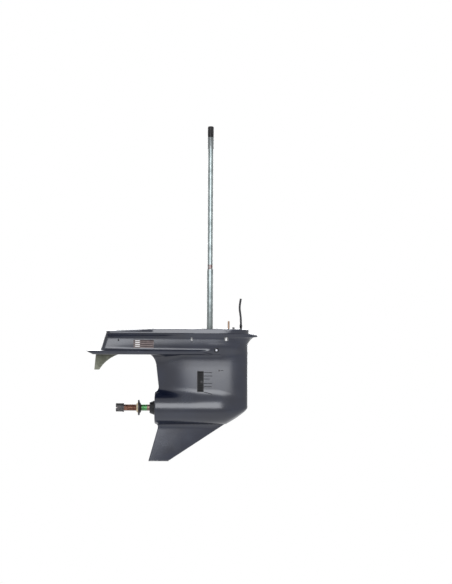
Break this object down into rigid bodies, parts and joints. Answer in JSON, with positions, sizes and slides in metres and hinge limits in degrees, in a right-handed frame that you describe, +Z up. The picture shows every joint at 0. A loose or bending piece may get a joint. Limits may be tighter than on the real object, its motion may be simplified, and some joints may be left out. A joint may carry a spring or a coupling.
{
  "type": "outboard lower unit",
  "caption": "Outboard motor lower unit with driveshaft, water pump, bevel gears, shifting clutch, propeller shaft, trim tab, plate and skeg.",
  "frame": {"origin": "where the driveshaft axis meets the deck plane that bolts to the leg above", "axes": "+X forward along the propeller shaft axis, +Y to port, +Z up along the driveshaft"},
  "size_m": [0.5715, 0.19, 1.1225],
  "materials": {
    "painted_alloy": "gloss navy-black paint over cast aluminium",
    "zinc_alloy": "dull cast zinc",
    "stainless_steel": "satin",
    "dark_steel": "blackened",
    "black_plastic": "satin",
    "grille_plastic": "satin",
    "cast_alloy": "as cast",
    "black_carrier": "satin black paint",
    "bearing_steel": "ground",
    "gear_steel": "hardened and oiled",
    "shaft_steel": "ground",
    "prop_shaft_steel": "stained with old grease",
    "brown_steel": "lightly rusted",
    "brass": "cast",
    "bronze": "turned",
    "seal_rubber": "moulded",
    "hose_rubber": "smooth"
  },
  "bodies": {
    "gearcase": {"carrier_needle_bearings": "bearing_steel", "carrier_o_ring": "seal_rubber", "carrier_retainer_nut": "cast_alloy", "driveshaft_bearing_housing": "cast_alloy", "driveshaft_oil_seals": "seal_rubber", "driveshaft_upper_bearing": "bearing_steel", "forward_gear_bearing_cup": "bearing_steel", "forward_gear_shim": "stainless_steel", "gearcase_housing": "painted_alloy", "hose_fitting": "black_plastic", "intake_screen_port": "black_plastic", "intake_screen_screws": "stainless_steel", "intake_screen_starboard": "black_plastic", "louvre_grille_port": "grille_plastic", "louvre_grille_starboard": "grille_plastic", "oil_drain_plug": "stainless_steel", "oil_level_plug": "stainless_steel", "pinion_bearing_needles": "bearing_steel", "pinion_bearing_shell": "bearing_steel", "plug_gaskets": "seal_rubber", "propeller_shaft_carrier": "black_carrier", "propeller_shaft_seals": "seal_rubber", "pump_base_gasket": "seal_rubber", "pump_housing": "black_plastic", "pump_housing_bolts": "stainless_steel", "pump_liner_cup": "stainless_steel", "pump_wear_plate": "stainless_steel", "reverse_gear_bearing": "bearing_steel", "shift_retainer_screw": "dark_steel", "shift_shaft_retainer": "black_plastic", "shift_shaft_seal": "seal_rubber", "side_passage_screw": "dark_steel", "speedometer_hose": "hose_rubber", "trim_tab": "zinc_alloy", "trim_tab_bolt": "stainless_steel", "water_tube_grommet": "seal_rubber"},
    "driveshaft": {"driveshaft": "shaft_steel", "pinion_gear": "gear_steel", "pinion_nut": "gear_steel", "pump_impeller": "seal_rubber", "impeller_key": "stainless_steel", "shaft_slinger": "seal_rubber"},
    "forward_gear": {"forward_gear": "gear_steel", "forward_gear_bearing_cone": "bearing_steel", "forward_gear_bearing_rollers": "bearing_steel"},
    "reverse_gear": {"reverse_gear": "gear_steel", "reverse_gear_thrust_washer": "bronze"},
    "propeller_shaft": {"propeller_shaft": "prop_shaft_steel", "propeller_thrust_washer": "brass", "propeller_washer": "dark_steel", "propeller_nut": "dark_steel", "cotter_pin": "stainless_steel"},
    "clutch": {"clutch_dog": "gear_steel", "clutch_cross_pin": "gear_steel", "clutch_retaining_spring": "stainless_steel", "clutch_actuator_rod": "gear_steel"},
    "shift_shaft": {"shift_shaft": "brown_steel"},
    "shift_follower": {"shift_follower": "gear_steel"}
  },
  "joints": [
    {"name": "driveshaft_spin", "type": "hinge", "parent": "gearcase", "child": "driveshaft", "pos_m": [0, 0, 0], "axis": [0, 0, 1], "continuous": true},
    {"name": "propeller_shaft_spin", "type": "hinge", "parent": "gearcase", "child": "propeller_shaft", "pos_m": [0, 0, -0.265], "axis": [1, 0, 0], "continuous": true},
    {"name": "shift_shaft_turn", "type": "hinge", "parent": "gearcase", "child": "shift_shaft", "pos_m": [0.063, 0, 0], "axis": [0, 0, 1], "range_deg": [-38, 38]},
    {"name": "forward_gear_spin", "type": "hinge", "parent": "gearcase", "child": "forward_gear", "pos_m": [0, 0, -0.265], "axis": [1, 0, 0], "continuous": true},
    {"name": "reverse_gear_spin", "type": "hinge", "parent": "gearcase", "child": "reverse_gear", "pos_m": [0, 0, -0.265], "axis": [1, 0, 0], "continuous": true},
    {"name": "clutch_slide", "type": "slide", "parent": "propeller_shaft", "child": "clutch", "axis": [1, 0, 0], "range_m": [-0.0055, 0.0055]},
    {"name": "shift_follower_slide", "type": "slide", "parent": "gearcase", "child": "shift_follower", "axis": [1, 0, 0], "range_m": [-0.0055, 0.0055]}
  ],
  "couplings": [
    {"joint": "forward_gear_spin", "follows": "driveshaft_spin", "ratio": -0.5},
    {"joint": "reverse_gear_spin", "follows": "driveshaft_spin", "ratio": 0.5},
    {"joint": "clutch_slide", "follows": "shift_follower_slide", "ratio": 1},
    {"joint": "shift_shaft_turn", "follows": "shift_follower_slide", "rad_per_m": -120.58}
  ]
}
